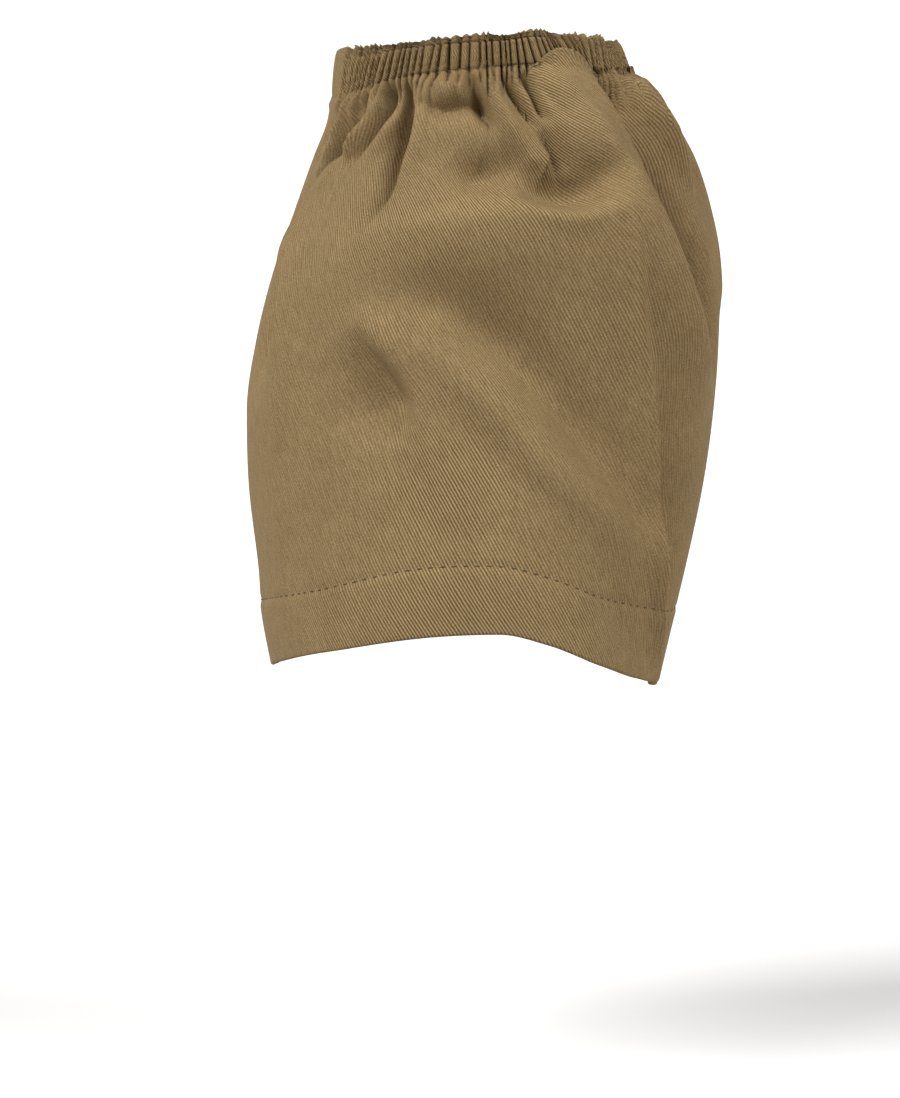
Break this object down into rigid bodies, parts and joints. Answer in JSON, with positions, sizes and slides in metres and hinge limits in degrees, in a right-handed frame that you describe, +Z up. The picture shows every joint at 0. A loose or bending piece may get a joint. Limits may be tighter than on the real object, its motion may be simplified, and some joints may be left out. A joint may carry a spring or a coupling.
{
  "type": "boot cover",
  "caption": "Gathered cotton drill cover worn over a boot, with an elastic ankle casing, full panels and a stitched hem.",
  "frame": {"origin": "middle of the elastic ankle ring, where the leg passes through", "axes": "+Z up the leg, -Y towards the front of the boot, +X to the right as seen from the front"},
  "size_m": [0.125, 0.1447, 0.1706],
  "materials": {
    "drill": "khaki cotton drill with fine diagonal twill ribs, matt",
    "elastic": "flat woven elastic, natural white"
  },
  "bodies": {
    "root": {"front_panel": "drill", "back_panel": "drill", "casing": "drill", "hem_front": "drill", "hem_back": "drill", "elastic_band": "elastic"}
  },
  "joints": []
}
